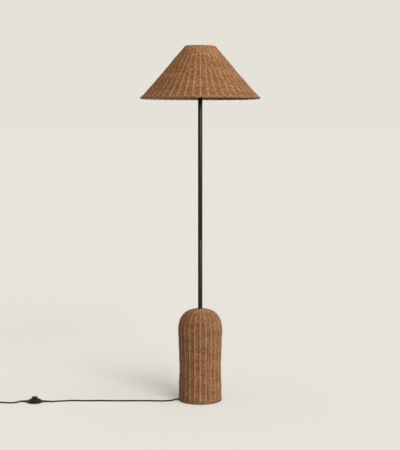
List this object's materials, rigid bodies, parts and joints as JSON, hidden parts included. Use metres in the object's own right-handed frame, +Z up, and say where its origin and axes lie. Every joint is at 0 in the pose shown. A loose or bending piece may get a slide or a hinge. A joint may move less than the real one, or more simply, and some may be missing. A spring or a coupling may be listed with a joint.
{
  "type": "rattan floor lamp",
  "caption": "Floor lamp with a domed woven rattan base over a weight, slim steel pole, woven rattan cone shade, and a lead with foot switch and plug.",
  "frame": {"origin": "middle of the round base on the floor, on the pole's axis", "axes": "+Z up along the pole, -Y to the front, -X to the side where the lead leaves the base"},
  "size_m": [1.2038, 0.5046, 1.5],
  "materials": {
    "rattan": "woven natural rattan, clear matt varnish",
    "rattan_border": "plaited natural rattan, clear matt varnish",
    "black_paint": "satin black powder coat",
    "zinc_steel": "bright zinc plate",
    "cast_iron": "rough as cast, black wash",
    "brass": "plain stamped brass",
    "nickel_pin": "nickel-plated brass",
    "aluminium": "rolled thread",
    "black_plastic": "fine-grained moulded",
    "black_rubber": "soft moulded",
    "lead_sheath": "smooth black sheath, slight sheen",
    "ceramic": "unglazed",
    "opal_glass": "opal, satin",
    "felt": "pressed wool felt"
  },
  "bodies": {
    "stand": {"base_felt_pad": "felt", "base_weight": "cast_iron", "base_clamp_washer": "zinc_steel", "base_clamp_nut": "zinc_steel", "base_threaded_rod": "zinc_steel", "pole_foot_flange": "black_paint", "base_wicker_cover": "rattan", "base_wicker_border": "rattan_border", "dome_collar": "black_paint", "base_frame_hoop": "zinc_steel", "base_frame_wire_1": "zinc_steel", "base_frame_wire_2": "zinc_steel", "base_frame_wire_3": "zinc_steel", "pole_foot_insert": "zinc_steel", "pole_lower_tube": "black_paint", "pole_joiner": "zinc_steel", "pole_upper_tube": "black_paint", "pole_top_insert": "zinc_steel", "lampholder_nipple": "zinc_steel", "lampholder_lock_nut": "zinc_steel", "lampholder_cap": "black_plastic", "lampholder_insulator": "ceramic", "lampholder_centre_contact": "brass", "lampholder_skirt": "black_plastic", "inner_lead": "lead_sheath", "cord_grommet": "black_rubber", "cord_base_to_switch": "lead_sheath", "switch_sleeve_lamp_side": "black_rubber", "switch_sleeve_plug_side": "black_rubber", "switch_base": "black_plastic", "switch_cover": "black_plastic", "switch_terminal_block": "ceramic", "switch_spring": "zinc_steel", "switch_cover_screw_1": "zinc_steel", "switch_cover_screw_2": "zinc_steel", "cord_switch_to_coil": "lead_sheath", "cord_coil": "lead_sheath", "cord_coil_to_plug": "lead_sheath", "plug_body": "black_plastic", "plug_pin_1": "nickel_pin", "plug_pin_2": "nickel_pin"},
    "shade": {"shade_wicker_cone": "rattan", "shade_rim_border": "rattan_border", "shade_top_border": "rattan_border", "shade_rim_wire": "black_paint", "shade_top_wire": "black_paint", "shade_rib_1": "black_paint", "shade_rib_2": "black_paint", "shade_rib_3": "black_paint", "shade_rib_4": "black_paint", "shade_carrier": "black_paint"},
    "shade_nut": {"shade_ring_nut": "black_plastic"},
    "bulb_tip": {"bulb_contact_tip": "brass"},
    "bulb": {"bulb_screw_cap": "aluminium", "bulb_glass": "opal_glass", "bulb_light_stem": "ceramic"},
    "switch_button": {"switch_button": "black_plastic"}
  },
  "joints": [
    {"name": "shade_turn", "type": "hinge", "parent": "stand", "child": "shade", "pos_m": [0, 0, 1.382], "axis": [0, 0, 1], "continuous": true},
    {"name": "shade_nut_turn", "type": "hinge", "parent": "stand", "child": "shade_nut", "pos_m": [0, 0, 1.387], "axis": [0, 0, 1], "range_deg": [0, 720]},
    {"name": "bulb_rise", "type": "slide", "parent": "stand", "child": "bulb_tip", "axis": [0, 0, 1], "range_m": [0, 0.0109]},
    {"name": "bulb_turn", "type": "hinge", "parent": "bulb_tip", "child": "bulb", "pos_m": [0, 0, 1.376], "axis": [0, 0, 1], "range_deg": [0, 1080]},
    {"name": "switch_press", "type": "slide", "parent": "stand", "child": "switch_button", "axis": [0, 0, -1], "range_m": [0, 0.003], "stiffness_N_per_m": 800, "springref_m": -0.003, "deforming": ["switch_spring"]}
  ],
  "couplings": [
    {"joint": "bulb_rise", "follows": "bulb_turn", "m_per_rad": 0.00057615}
  ]
}
